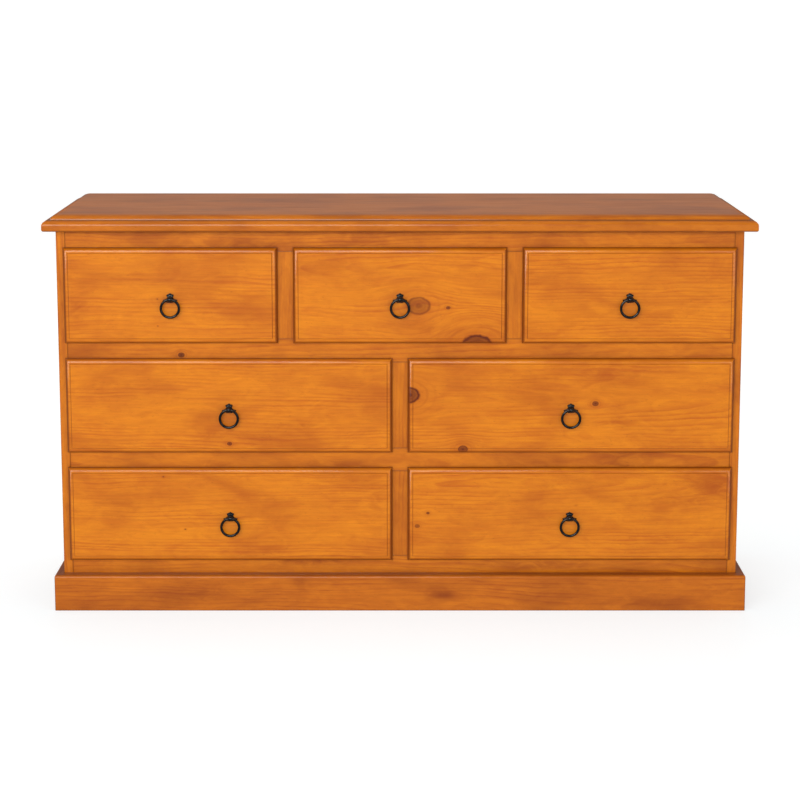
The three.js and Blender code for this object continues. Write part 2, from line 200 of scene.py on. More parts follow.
HONEY = Stain(
    early=srgb(222, 132, 16),
    late=srgb(180, 84, 8),
    streak=srgb(158, 66, 7),
    knot=srgb(96, 34, 8),
    end=srgb(120, 54, 10),
    gloss=0.34,
    coat=0.55,
    contrast=0.9,
)
HONEY_FRAME = Stain(
    early=srgb(218, 126, 16),
    late=srgb(168, 76, 7),
    streak=srgb(134, 52, 6),
    knot=srgb(84, 30, 8),
    end=srgb(110, 48, 9),
    gloss=0.36,
    coat=0.5,
    contrast=0.9,
)
HONEY_PLINTH = Stain(
    early=srgb(204, 113, 14),
    late=srgb(158, 70, 7),
    streak=srgb(130, 52, 6),
    knot=srgb(84, 30, 8),
    end=srgb(104, 46, 9),
    gloss=0.38,
    coat=0.5,
    contrast=0.9,
)
HONEY_TOP = Stain(
    early=srgb(216, 124, 18),
    late=srgb(172, 78, 9),
    streak=srgb(128, 52, 9),
    knot=srgb(72, 30, 12),
    end=srgb(120, 54, 10),
    gloss=0.32,
    coat=0.6,
    contrast=0.8,
)
RAW = Stain(
    early=srgb(214, 182, 132),
    late=srgb(186, 142, 88),
    streak=srgb(190, 148, 96),
    knot=srgb(110, 66, 36),
    end=srgb(176, 132, 82),
    gloss=0.72,
    coat=0.0,
    contrast=0.6,
)

RING_SPACING = 0.0085
KNOT_STRETCH = 1.3  # knots look longer along the grain


def board_coordinates(g, board):
    """Sockets for the distance along, across and into the board from its centre."""
    place = g.add("ShaderNodeTexCoord").outputs["Object"]
    parts = g.add("ShaderNodeSeparateXYZ")
    g.feed(parts.inputs[0], place)
    axes = (board.along, board.across, board.depth)
    return [g.math("SUBTRACT", parts.outputs[axis], board.centre[axis]) for axis in axes]


def knot_fields(g, board, u, v):
    """The sideways bend, the ring lift, the knot mask and the reddened halo that the knots add."""
    bent, lift, mask, halo = v, 0.0, 0.0, 0.0
    if not board.knots:
        return bent, lift, mask, halo
    rough = g.noise(g.vector(g.math("MULTIPLY", u, 90.0), g.math("MULTIPLY", v, 90.0), board.seed), 3.0)
    rough = g.math("MULTIPLY_ADD", rough, 0.3, -0.15)
    for along, across, radius, darkness in board.knots:
        du = g.math("DIVIDE", g.math("SUBTRACT", u, along), radius * KNOT_STRETCH)
        dv_metres = g.math("SUBTRACT", v, across)
        dv = g.math("DIVIDE", dv_metres, radius)
        squared = g.math("ADD", g.math("MULTIPLY", du, du), g.math("MULTIPLY", dv, dv))
        near = g.math("EXPONENT", g.math("MULTIPLY", squared, -0.13))
        bent = g.math("MULTIPLY_ADD", g.math("MULTIPLY", dv_metres, near), -0.85, bent)
        lift = g.math("MULTIPLY_ADD", near, radius * 0.9, lift)
        rho = g.math("ADD", g.math("SQRT", squared), rough)
        disc = g.step(rho, 1.12, 0.9)
        rings = g.math("SINE", g.math("MULTIPLY", rho, 15.0))
        rim = g.math("MULTIPLY", g.step(rho, 0.72, 0.97), disc)
        core = g.step(rho, 0.45, 0.05, 0.0, 0.35)
        shade = g.sum(0.72, g.math("MULTIPLY", rings, 0.08), g.math("MULTIPLY", rim, 0.38), core)
        shade = g.math("MULTIPLY", g.math("MULTIPLY", shade, disc), darkness, clamp=True)
        mask = g.math("MAXIMUM", mask, shade)
        swirl = g.step(g.math("SINE", g.math("MULTIPLY", rho, 8.0)), 0.2, 1.0)
        swirl = g.math("MULTIPLY_ADD", swirl, 0.5, 0.5)
        glow = g.math("MULTIPLY", g.math("EXPONENT", g.math("MULTIPLY", squared, -0.22)), 0.75 * darkness)
        halo = g.math("MAXIMUM", halo, g.math("MULTIPLY", glow, swirl))
    return bent, lift, mask, halo


def smudge_field(g, board, u, v, cloud):
    """Soft dark places in the stain, ragged where the cloud is thin; the long strip given along the top
    rail's upper edge is a painted shadow from the top's nose.
    """
    total = 0.0
    for along, across, half_length, half_width, strength in board.smudges:
        du = g.math("DIVIDE", g.math("SUBTRACT", u, along), half_length)
        dv = g.math("DIVIDE", g.math("SUBTRACT", v, across), half_width)
        squared = g.math("ADD", g.math("MULTIPLY", du, du), g.math("MULTIPLY", dv, dv))
        soft = g.math("EXPONENT", g.math("MULTIPLY", squared, -1.0))
        soft = g.math("MULTIPLY", soft, g.step(cloud, 0.3, 0.6, 0.35, 1.0))
        total = g.math("MAXIMUM", total, g.math("MULTIPLY", soft, strength))
    return total


def pine(name, board, stain):
    """Knotty pine cut from one log: growth rings, fibre, resin flecks, stain blotches and knots, with
    painted shade on faces turned downward and where the mesh's stain attribute asks for it.
    """
    g = Graph(name)
    u, v, w = board_coordinates(g, board)
    seed = float(board.seed)
    tone = 0.5
    pith_across = board.pith_across
    if board.strip:
        stave = g.math("ROUND", g.math("DIVIDE", v, board.strip))
        chance = g.random(g.math("ADD", stave, seed))
        tone = g.random(g.math("ADD", stave, seed + 40.0))
        v_rings = g.math("SUBTRACT", v, g.math("MULTIPLY", stave, board.strip))
        pith_across = g.math("MULTIPLY_ADD", chance, board.strip * 3.0, -board.strip * 1.5)
        stave_seed = g.math("MULTIPLY", chance, 31.0)
    else:
        v_rings = v
        stave_seed = seed
    bent, lift, knot_mask, halo = knot_fields(g, board, u, v)
    bent_in_stave = g.math("ADD", v_rings, g.math("SUBTRACT", bent, v)) if board.strip else bent

    def stretched(along, across, shift, shape=v):
        """Noise space drawn out along the grain, at so many cells per metre each way."""
        return g.vector(
            g.math("MULTIPLY", u, along),
            g.math("MULTIPLY_ADD", shape, across, shift),
            g.math("MULTIPLY", w, across),
        )

    slow = g.noise(stretched(1.6, 5.0, stave_seed), 2.0)
    wave = g.noise(stretched(9.0, 30.0, stave_seed), 3.0)
    slow_wander = g.math("MULTIPLY_ADD", slow, 0.05, -0.025)
    wander = g.math("ADD", slow_wander, g.math("MULTIPLY_ADD", wave, 0.012, -0.006))
    across = g.math("ADD", g.math("SUBTRACT", bent_in_stave, pith_across), wander)
    lean = g.math("MULTIPLY_ADD", u, board.pith_tilt, board.pith_depth)
    into = g.sum(lean, w, g.math("MULTIPLY_ADD", slow, 0.03, -0.015))
    squared = g.math("ADD", g.math("MULTIPLY", across, across), g.math("MULTIPLY", into, into))
    radius = g.math("SQRT", squared)
    radius = g.math("ADD", radius, lift)

    uneven = g.noise(g.vector(g.math("MULTIPLY", radius, 70.0), stave_seed, 0.0), 1.0)
    count = g.math("MULTIPLY_ADD", uneven, 1.4, g.math("DIVIDE", radius, RING_SPACING))
    phase = g.math("FRACT", count)
    rise = g.step(phase, 0.4, 0.93)
    fall = g.step(phase, 0.93, 1.0, 1.0, 0.0)
    fade = g.noise(stretched(3.0, 22.0, seed), 2.0)
    ring = g.math("MULTIPLY", g.math("MULTIPLY", rise, fall), g.step(fade, 0.35, 0.7, 0.12, 1.0))

    fibre = g.noise(stretched(26.0, 520.0, seed, bent), 5.0, 0.65)
    streak = g.noise(stretched(7.0, 70.0, seed, bent), 4.0, 0.6, 0.3)
    flame = g.noise(stretched(16.0, 42.0, seed * 5.0, bent), 4.0, 0.6, 1.5)
    blotch = g.noise(stretched(5.0, 11.0, seed * 3.0), 4.0, 0.55, 0.4)
    fleck = g.noise(stretched(120.0, 700.0, seed, bent), 1.0)

    figure = g.sum(
        g.math("MULTIPLY", ring, 0.42),
        g.step(streak, 0.3, 0.7, 0.06, 0.3),
        g.step(flame, 0.3, 0.7, 0.06, 0.32),
    )
    colour = g.mix(g.math("MULTIPLY", figure, stain.contrast, clamp=True), stain.early, stain.late)
    colour = g.mix(g.step(blotch, 0.4, 0.76, 0.0, 0.5), colour, stain.streak)
    colour = g.mix(g.step(fleck, 0.68, 0.76, 0.0, 0.25), colour, stain.knot)
    shade = g.sum(0.77, g.math("MULTIPLY", fibre, 0.34), g.math("MULTIPLY", tone, 0.1))
    colour = g.mix(1.0, colour, g.vector(shade, shade, shade), "MULTIPLY")
    colour = g.mix(g.math("MAXIMUM", halo, smudge_field(g, board, u, v, flame)), colour, stain.streak)
    colour = g.mix(knot_mask, colour, stain.knot)

    facing = g.add("ShaderNodeSeparateXYZ")
    g.feed(facing.inputs[0], g.add("ShaderNodeTexCoord").outputs["Normal"])
    end_grain_and_underside_shade = g.step(g.math("ABSOLUTE", facing.outputs[board.along]), 0.03, 0.6)
    pores = g.noise(stretched(300.0, 700.0, seed), 2.0, 0.6)
    end_grain_and_underside_shade = g.math("MULTIPLY", end_grain_and_underside_shade, g.math("MULTIPLY_ADD", pores, 0.7, 0.45), clamp=True)
    # Painted shade: faces turned downward are darkened towards the end-grain colour.
    painted_underside_shade = g.step(g.math("MULTIPLY", facing.outputs[Z], -1.0), 0.03, 0.8, 0.0, 0.6)
    end_grain_and_underside_shade = g.math("MAXIMUM", g.math("MULTIPLY", end_grain_and_underside_shade, 0.95, clamp=True), painted_underside_shade)
    colour = g.mix(end_grain_and_underside_shade, colour, stain.end)
    # Rim darkens each board within about a millimetre of its arrises: dark joints on the frame, and painted
    # shade on the drawer fronts' outer edges. The stain attribute adds painted shade on the top's and
    # fronts' mouldings (recesses, the rounded border falling away to its outer edge, under the nose) and,
    # on the side panels, a dark joint and painted shade on the rounded arris.
    rim_u = g.math("SUBTRACT", board.half[0], g.math("ABSOLUTE", u))
    rim_v = g.math("SUBTRACT", board.half[1], g.math("ABSOLUTE", v))
    rim = g.math("EXPONENT", g.math("MULTIPLY", g.math("MINIMUM", rim_u, rim_v), -900.0))
    joints_and_painted_shade = g.add("ShaderNodeAttribute", attribute_name="stain").outputs["Fac"]
    joints_and_painted_shade = g.math("MAXIMUM", g.math("MULTIPLY", rim, 0.6), joints_and_painted_shade)
    colour = g.mix(g.math("MULTIPLY", joints_and_painted_shade, 0.8, clamp=True), colour, stain.knot)
    if board.strip:
        seam = g.step(g.math("ABSOLUTE", v_rings), board.strip / 2 - 0.0008, board.strip / 2, 0.0, 0.3)
        colour = g.mix(seam, colour, stain.knot)

    height = g.sum(
        g.math("MULTIPLY", ring, 0.35),
        g.math("MULTIPLY", fibre, 0.5),
        g.math("MULTIPLY", knot_mask, 0.6),
    )
    hand = g.noise(stretched(14.0, 30.0, seed), 1.0)
    normal = g.bump(hand, 0.0012, 0.5)
    normal = g.bump(height, 0.00025, 0.5, normal)
    roughness = g.sum(stain.gloss - 0.06, g.math("MULTIPLY", streak, 0.12), g.math("MULTIPLY", ring, 0.04))
    return g.surface(
        Base_Color=colour,
        Roughness=roughness,
        Normal=normal,
        IOR=1.5,
        Specular_IOR_Level=0.2,
        Coat_Weight=stain.coat,
        Coat_Roughness=0.11,
        Coat_IOR=1.45,
    )


def plywood(name):
    """Rotary-cut veneer: wide wandering figure on the faces and thin plies on the edges."""
    g = Graph(name)
    place = g.add("ShaderNodeTexCoord").outputs["Object"]
    parts = g.add("ShaderNodeSeparateXYZ")
    g.feed(parts.inputs[0], place)
    x, y, z = parts.outputs
    across = g.math("ADD", y, z)
    drawn_out = g.vector(g.math("MULTIPLY", x, 1.3), g.math("MULTIPLY", across, 5.0), 3.0)
    wander = g.noise(drawn_out, 3.0, 0.5, 0.6)
    rings = g.math("SINE", g.math("MULTIPLY_ADD", wander, 90.0, g.math("MULTIPLY", across, 60.0)))
    fibre = g.noise(g.vector(g.math("MULTIPLY", x, 10.0), g.math("MULTIPLY", across, 500.0), 1.0), 3.0, 0.6)
    colour = g.mix(g.step(rings, -0.6, 1.0, 0.0, 0.3), srgb(222, 190, 142), srgb(196, 154, 102))
    shade = g.math("MULTIPLY_ADD", fibre, 0.3, 0.82)
    colour = g.mix(1.0, colour, g.vector(shade, shade, shade), "MULTIPLY")
    normal = g.bump(g.math("ADD", g.math("MULTIPLY", rings, 0.3), fibre), 0.0002, 0.5)
    return g.surface(Base_Color=colour, Roughness=g.math("MULTIPLY_ADD", fibre, 0.2, 0.6), Normal=normal)


def black_iron(name):
    """Blackened cast iron: softly hammered, finely pitted, rubbed paler on the high spots."""
    g = Graph(name)
    place = g.add("ShaderNodeTexCoord").outputs["Object"]
    scaled = [g.add("ShaderNodeVectorMath", operation="SCALE") for _ in range(2)]
    for node, scale in zip(scaled, (170.0, 1500.0)):
        g.feed(node.inputs[0], place)
        g.feed(node.inputs["Scale"], scale)
    lumps = g.noise(scaled[0].outputs[0], 2.0, 0.5)
    grit = g.noise(scaled[1].outputs[0], 2.0, 0.6)
    colour = g.mix(g.step(lumps, 0.55, 0.8), srgb(20, 20, 23), srgb(48, 46, 47))
    colour = g.mix(g.step(grit, 0.6, 0.75, 0.0, 0.5), colour, srgb(14, 13, 14))
    normal = g.bump(lumps, 0.0006, 0.35)
    normal = g.bump(grit, 0.00008, 0.4, normal)
    return g.surface(
        Base_Color=colour,
        Metallic=0.6,
        Roughness=g.math("MULTIPLY_ADD", grit, 0.14, 0.16),
        Normal=normal,
        Specular_IOR_Level=0.6,
        Coat_Weight=0.5,
        Coat_Roughness=0.16,
    )


def zinc_steel(name):
    """Zinc-plated steel with a faint yellow cast and fine turning marks."""
    g = Graph(name)
    place = g.add("ShaderNodeTexCoord").outputs["Object"]
    scaled = g.add("ShaderNodeVectorMath", operation="SCALE")
    g.feed(scaled.inputs[0], place)
    g.feed(scaled.inputs["Scale"], 700.0)
    cloud = g.noise(scaled.outputs[0], 3.0, 0.6)
    colour = g.mix(cloud, srgb(168, 164, 150), srgb(204, 200, 186))
    return g.surface(
        Base_Color=colour,
        Metallic=1.0,
        Roughness=g.math("MULTIPLY_ADD", cloud, 0.25, 0.22),
        Normal=g.bump(cloud, 0.0001, 0.4),
    )


# ---------- mesh helpers ----------

def finish_piece(name, mesh, body, material, replaces=(), sharp_degrees=38.0):
    """Names a mesh's object, smooths its curved faces and puts it on its body."""
    outward = bmesh.new()
    outward.from_mesh(mesh)
    bmesh.ops.recalc_face_normals(outward, faces=outward.faces)
    outward.to_mesh(mesh)
    outward.free()
    mesh.name = name
    mesh.materials.clear()
    mesh.materials.append(material)
    mesh.shade_smooth()
    mesh.set_sharp_from_angle(angle=math.radians(sharp_degrees))
    piece = bpy.data.objects.new(name, mesh)
    scene.collection.objects.link(piece)
    weighted = piece.modifiers.new("weighted_normals", "WEIGHTED_NORMAL")
    weighted.keep_sharp = True
    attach(piece, body)
    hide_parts(*replaces)
    return piece


def mesh_from(points, faces, stain=None):
    """A mesh from points and faces, with an optional darkening value at each point, kept as the stain
    attribute: dark joints and painted shade.
    """
    mesh = bpy.data.meshes.new("mesh")
    mesh.from_pydata([tuple(point) for point in points], [], faces)
    mesh.update()
    if stain is not None:
        values = mesh.attributes.new("stain", "FLOAT", "POINT")
        values.data.foreach_set("value", stain)
    return mesh


def mesh_of(bm):
    mesh = bpy.data.meshes.new("mesh")
    bmesh.ops.recalc_face_normals(bm, faces=bm.faces)
    bm.to_mesh(mesh)
    bm.free()
    return mesh


def loft(outlines, painted_shade_levels=None):
    """A closed skin through outlines of equal count, with a flat cap on each end."""
    count = len(outlines[0])
    points = [point for outline in outlines for point in outline]
    faces = []
    for layer in range(len(outlines) - 1):
        near = layer * count
        far = near + count
        for i in range(count):
            following = (i + 1) % count
            faces.append((near + i, far + i, far + following, near + following))
    last = (len(outlines) - 1) * count
    faces.append(tuple(range(count)))
    faces.append(tuple(range(last + count - 1, last - 1, -1)))
    values = None
    if painted_shade_levels is not None:
        values = [stain for stain in painted_shade_levels for _ in range(count)]
    return mesh_from(points, faces, values)


def eased_board(low, high, ease=0.8 * MM, segments=2):
    """A board between two corners with its arrises eased."""
    bm = bmesh.new()
    bmesh.ops.create_cube(bm, size=1.0)
    size = Vector(high) - Vector(low)
    middle = (Vector(high) + Vector(low)) / 2
    for vertex in bm.verts:
        vertex.co = Vector(part * extent for part, extent in zip(vertex.co, size)) + middle
    bmesh.ops.bevel(bm, geom=bm.edges[:], offset=ease, segments=segments, profile=0.5, affect="EDGES")
    return mesh_of(bm)


def quarter(inner, start, outer, end, steps):
    """Points of a quarter ellipse as (inset, depth), from its high inner end to its low outer end."""
    points = []
    for step in range(steps + 1):
        angle = math.pi / 2 * step / steps
        points.append((inner - (inner - outer) * math.sin(angle), end - (end - start) * math.cos(angle)))
    return points


def lathe(profile, centre, axis, segments):
    """A closed turning: profile is a closed loop of (radius, station) round an axis by number."""
    first, second = [i for i in (X, Y, Z) if i != axis]
    points = []
    for step in range(segments):
        angle = 2 * math.pi * step / segments
        for radius, station in profile:
            point = Vector(centre)
            point[axis] += station
            point[first] += radius * math.cos(angle)
            point[second] += radius * math.sin(angle)
            points.append(point)
    count = len(profile)
    faces = []
    for step in range(segments):
        here = step * count
        there = ((step + 1) % segments) * count
        for i in range(count):
            following = (i + 1) % count
            faces.append((here + i, here + following, there + following, there + i))
    bm = bmesh.new()
    raw = mesh_from(points, faces)
    bm.from_mesh(raw)
    bmesh.ops.remove_doubles(bm, verts=bm.verts, dist=1e-7)
    on_axis = [edge for edge in bm.edges if not edge.link_faces]
    bmesh.ops.delete(bm, geom=on_axis, context="EDGES")
    return mesh_of(bm)


def joined(meshes):
    """Several meshes as one mesh."""
    bm = bmesh.new()
    for mesh in meshes:
        bm.from_mesh(mesh)
    mesh = bpy.data.meshes.new("mesh")
    bm.to_mesh(mesh)
    bm.free()
    return mesh


def shifted(mesh, offset):
    copy = mesh.copy()
    for vertex in copy.vertices:
        vertex.co += Vector(offset)
    return copy


# ---------- carcass ----------

def add_top():
    """Top board: moulded on the front and both sides, square at the back."""
    low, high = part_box("top_board")
    thickness = (high.z - low.z) / MM
    profile = [(TOP_ROUND_INNER + 25.0, 0.0), (TOP_ROUND_INNER + 2.0, 0.0)]
    profile += quarter(TOP_ROUND_INNER, 0.0, TOP_ROUND_OUTER, TOP_ROUND_DEPTH, 10)
    profile += quarter(TOP_ROUND_OUTER - TOP_STEP, TOP_ROUND_DEPTH, 0.0, TOP_NOSE_DEPTH, 12)
    for step in range(6):
        angle = math.pi / 2 * step / 5
        inset = TOP_LOWER_ROUND * (1 - math.cos(angle))
        profile.append((inset, thickness - TOP_LOWER_ROUND * (1 - math.sin(angle))))
    painted_shade_levels = [top_painted_shade(depth) for _, depth in profile]
    # Painted shadow under the nose: the last two levels of its lower round are darkened.
    painted_shade_levels[-2:] = [0.45, 0.8]
    outlines = []
    for inset, depth in profile:
        x = high.x - inset * MM
        y = low.y + inset * MM
        z = high.z - depth * MM
        outlines.append([(-x, y, z), (x, y, z), (x, high.y, z), (-x, high.y, z)])
    board = board_at(
        "top_board", (X, Y, Z), (0.0, 0.05, 0.03), 3, (), TOP_SMUDGES, strip=0.115, half=OPEN_EDGES
    )
    material = pine("pine_top", board, HONEY_TOP)
    finish_piece("top_moulded", loft(outlines, painted_shade_levels), "carcass", material, ["top_board"])


def top_painted_shade(depth):
    """Darkening of the top's moulding at a depth in millimetres: painted shade, darkest in the step's
    recess and slight over the rest of the moulding; none on the flat.
    """
    if abs(depth - TOP_ROUND_DEPTH) < 1.2:
        return 0.75
    return 0.16 if depth > 0.3 else 0.0


TOP_SMUDGES = (
    (-0.58, 0.05, 0.05, 0.02, 0.35),
    (-0.41, 0.06, 0.03, 0.012, 0.5),
    (-0.41, -0.11, 0.04, 0.012, 0.35),
    (-0.2, 0.0, 0.09, 0.03, 0.2),
    (0.27, 0.1, 0.05, 0.02, 0.3),
    (0.52, 0.09, 0.06, 0.02, 0.45),
    (0.57, -0.03, 0.06, 0.025, 0.45),
)


def add_sides():
    """Side panels: one outline from above, with a rounded outer front arris, run up from the floor."""
    for label, sign in (("left", -1), ("right", 1)):
        node = f"side_panel_{label}"
        low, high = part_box(node)
        outer = high.x if sign > 0 else low.x
        inner = low.x if sign > 0 else high.x
        radius = SIDE_EDGE_RADIUS * MM
        ease = 0.6 * MM
        seam_end = inner + sign * 1.5 * MM
        outline = [(inner, low.y + ease), (inner + sign * ease, low.y), (seam_end, low.y)]
        for step in range(9):
            angle = math.pi / 2 * step / 8
            x = outer - sign * radius * (1 - math.sin(angle))
            y = low.y + radius * (1 - math.cos(angle))
            outline.append((x, y))
        outline += [(outer, high.y - ease), (outer - sign * ease, high.y), (inner, high.y)]
        # Darkness per outline point: a dark joint where the panel meets the frame at its inner front
        # corner, and painted shade at the outer end of the rounded front arris, fading along the outer face
        # to the back.
        seam = [0.6, 0.6, 0.1] + [0.0] * 7 + [0.25, 0.5] + [0.0] * 3
        if sign < 0:
            outline.reverse()
            seam.reverse()
        outlines = [[(x, y, z) for x, y in outline] for z in (high.z, low.z)]
        board = board_at(node, (Z, Y, X), (0.0, 0.06, 0.04), 11 + sign, strip=0.106, half=OPEN_EDGES)
        material = pine(f"pine_{node}", board, HONEY_FRAME)
        mesh = loft(outlines)
        stain = mesh.attributes.new("stain", "FLOAT", "POINT")
        stain.data.foreach_set("value", seam * 2)
        finish_piece(f"{node}_glued", mesh, "carcass", material, [node])


def add_back():
    node = "back_panel"
    low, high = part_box(node)
    finish_piece("back_sheet", eased_board(low, high, 0.4 * MM), "carcass", PLY, [node])
    heads = []
    inset = 10 * MM
    spacing = 0.12
    across = int((high.x - low.x) / spacing)
    for i in range(across + 1):
        x = low.x + inset + (high.x - low.x - 2 * inset) * i / across
        for z in (low.z + inset, high.z - inset):
            heads.append((x, z))
    up = int((high.z - low.z) / spacing)
    for i in range(1, up):
        z = low.z + (high.z - low.z) * i / up
        for x in (low.x + inset, high.x - inset):
            heads.append((x, z))
    nail = nail_head()
    nails = joined([shifted(nail, (x, high.y, z)) for x, z in heads])
    finish_piece("back_nails", nails, "carcass", STEEL)


def nail_head():
    """A low domed nail head that faces +Y, with its foot at the origin."""
    profile = [(0.0, -0.8 * MM), (1.9 * MM, -0.8 * MM), (2.0 * MM, 0.1 * MM)]
    profile += [(1.4 * MM, 0.5 * MM), (0.7 * MM, 0.65 * MM), (0.0, 0.7 * MM)]
    return lathe(profile, (0, 0, 0), Y, 12)


def add_frame():
    """Rails and dividers, with eased arrises that show as fine lines at the joints."""
    rail_knots = {"rail_upper": ((-0.464, -0.01, 0.005, 1.0),)}
    rail_smudges_and_nose_shadow = {
        "rail_lower": ((0.47, 0.0, 0.05, 0.02, 0.7), (-0.1, -0.01, 0.08, 0.01, 0.4)),
        "rail_top": (
            (-0.32, -0.01, 0.12, 0.012, 0.5),
            (-0.1, 0.0, 0.06, 0.02, 0.3),
            # A painted shadow from the top's nose: a dark strip along the rail's whole upper edge.
            (0.0, 0.022, 6.0, 0.004, 1.0),
        ),
        "rail_bottom": ((-0.2, 0.02, 0.12, 0.01, 0.6), (0.3, 0.01, 0.1, 0.01, 0.5)),
    }
    rails = ["rail_top", "rail_upper", "rail_lower", "rail_bottom"]
    for number, node in enumerate(rails):
        knots = rail_knots.get(node, ())
        smudges = rail_smudges_and_nose_shadow.get(node, ())
        board = board_at(node, (X, Z, Y), (0.09 - 0.05 * number, 0.05, 0.03), 21 + number, knots, smudges)
        add_eased(node, board, HONEY_FRAME)
    for number, node in enumerate(sorted(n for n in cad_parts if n.startswith("divider"))):
        board = board_at(node, (Z, X, Y), (0.05, 0.04, 0.06), 31 + number)
        add_eased(node, board, HONEY_FRAME)


def add_eased(node, board, stain, ease=0.6 * MM, body="carcass"):
    material = pine(f"pine_{node}", board, stain)
    return finish_piece(f"{node}_board", eased_board(*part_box(node), ease), body, material, [node])


def add_runners():
    """Runners in unfinished pine; the centre ones carry a raised guide."""
    guide_half = 20 * MM
    guide_rise = 18 * MM
    for number, node in enumerate(sorted(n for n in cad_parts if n.startswith("runner"))):
        low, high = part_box(node)
        board = board_at(node, (Y, X, Z), (0.03, 0.05, 0.05), 51 + number)
        material = pine(f"pine_{node}", board, RAW)
        if "centre" not in node:
            finish_piece(f"{node}_bar", eased_board(low, high), "carcass", material, [node])
            continue
        top = high.z - guide_rise
        middle = (low.x + high.x) / 2
        bar = eased_board(low, (high.x, high.y, top))
        guide = eased_board((middle - guide_half, low.y, top), (middle + guide_half, high.y, high.z))
        finish_piece(f"{node}_bar", bar, "carcass", material, [node])
        finish_piece(f"{node}_guide", guide, "carcass", material)


# ---------- plinth ----------

PLINTH_SMUDGES = (
    (0.095, -0.004, 0.025, 0.008, 0.8),
    (-0.43, 0.0, 0.07, 0.02, 0.4),
    (0.5, -0.02, 0.09, 0.01, 0.4),
)


def plinth_profile(thickness, height):
    """(out, height) points of a plinth board's section, up the face and over its rounded edge."""
    radius = PLINTH_RADIUS * MM
    ease = 0.8 * MM
    points = [(0.0, 0.0), (thickness - ease, 0.0), (thickness, ease)]
    for step in range(9):
        angle = math.pi / 2 * step / 8
        out = thickness - radius * (1 - math.cos(angle))
        points.append((out, height - radius * (1 - math.sin(angle))))
    points.append((0.0, height))
    return points


def add_plinth():
    """Three plinth boards, mitred at the front corners, which are rounded over a little."""
    front_low, front_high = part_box("plinth_front")
    side_low, side_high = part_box("plinth_side_right")
    height = front_high.z
    front_out = front_high.y - front_low.y
    side_out = side_high.x - side_low.x
    carcass_half = side_low.x
    corner = 2.0 * MM
    section = plinth_profile(front_out, height)
    outlines = []
    for sign in (-1, 1):
        ends = []
        for out, z in section:
            reach = carcass_half + side_out * out / front_out
            ends.append((sign * reach, front_high.y - out, z))
        pulled = [(x - sign * corner, y, z) for x, y, z in ends]
        outlines += [ends, pulled] if sign < 0 else [pulled, ends]
    shape = (carcass_half, side_out, front_high.y, front_out)
    rounded = [[soften_corner(point, *shape) for point in o] for o in outlines]
    board = board_at("plinth_front", (X, Z, Y), (-0.06, 0.04, 0.04), 71, (), PLINTH_SMUDGES)
    material = pine("pine_plinth_front", board, HONEY_PLINTH)
    mesh = loft([list(reversed(o)) for o in rounded])
    finish_piece("plinth_front_board", mesh, "carcass", material, ["plinth_front"])
    for label, sign in (("left", -1), ("right", 1)):
        node = f"plinth_side_{label}"
        section = plinth_profile(side_out, height)
        near = []
        far = []
        for out, z in section:
            start = front_high.y - front_out * out / side_out
            point = (sign * (carcass_half + out), start, z)
            near.append(soften_corner(point, *shape))
            far.append((sign * (carcass_half + out), side_high.y, z))
        outlines = [near, far]
        if sign > 0:
            outlines = [list(reversed(o)) for o in outlines]
        board = board_at(node, (Y, Z, X), (0.05, 0.04, 0.04), 74 + sign)
        material = pine(f"pine_{node}", board, HONEY_PLINTH)
        finish_piece(f"{node}_board", loft(outlines), "carcass", material, [node])


CORNER_START = 0.9
CORNER_SPAN = 0.1
CORNER_PULL = 1.1


def soften_corner(point, carcass_half, side_out, front_y, front_out):
    """Draws a point near the plinth's outer front corner in a little, so that the arris is rounded."""
    x, y, z = point
    out_side = (abs(x) - carcass_half) / side_out
    out_front = (front_y - y) / front_out
    sharpness = max(0.0, min(out_side, out_front) - CORNER_START) / CORNER_SPAN
    pull = CORNER_PULL * MM * sharpness
    return (x - math.copysign(pull, x), y + pull, z)


# ---------- drawers ----------

# For each drawer front: where the pith line runs (across, depth, tilt); its knots, as (along, across,
# radius in millimetres, darkness); and its smudges, as (along, across, half length and half width in
# millimetres, strength). Places are shares of the front's size from its middle.
Figure = namedtuple("Figure", "pith knots smudges")
FIGURES = (
    Figure(
        (-0.16, 0.05, 0.03),
        ((-0.06, -0.03, 1.2, 0.9), (-0.06, -0.31, 1.0, 0.9)),
        ((-0.44, -0.1, 18, 14, 0.6),),
    ),
    Figure(
        (0.05, 0.02, -0.10),
        ((0.087, -0.10, 19, 0.56), (0.225, -0.12, 3.5, 0.9), (0.36, -0.53, 26, 0.95)),
        ((0.13, -0.33, 16, 12, 0.4), (0.3, 0.3, 50, 20, 0.25)),
    ),
    Figure((0.22, 0.05, 0.015), (), ((0.1, -0.2, 90, 10, 0.25),)),
    Figure(
        (-0.17, 0.04, 0.015),
        ((0.0, -0.395, 4, 0.95),),
        ((0.17, -0.2, 70, 7, 0.35), (-0.05, -0.3, 30, 16, 0.3)),
    ),
    Figure(
        (0.015, 0.025, 0.055),
        ((0.075, 0.03, 5, 0.95), (-0.33, -0.455, 8, 0.9), (-0.495, 0.12, 17, 0.95)),
        ((0.1, 0.33, 60, 16, 0.4), (0.13, -0.17, 40, 6, 0.5)),
    ),
    Figure(
        (-0.24, 0.05, 0.01),
        ((-0.205, 0.41, 1.5, 0.9), (-0.14, -0.155, 1.3, 0.9)),
        ((0.13, -0.37, 30, 10, 0.5), (0.45, 0.1, 20, 60, 0.3)),
    ),
    Figure(
        (0.068, 0.02, 0.085),
        ((-0.437, 0.02, 2.6, 0.95), (-0.47, -0.12, 4, 0.7)),
        ((0.45, 0.33, 48, 30, 0.75), (0.36, 0.18, 60, 14, 0.4), (0.02, 0.1, 4, 3, 0.6)),
    ),
)


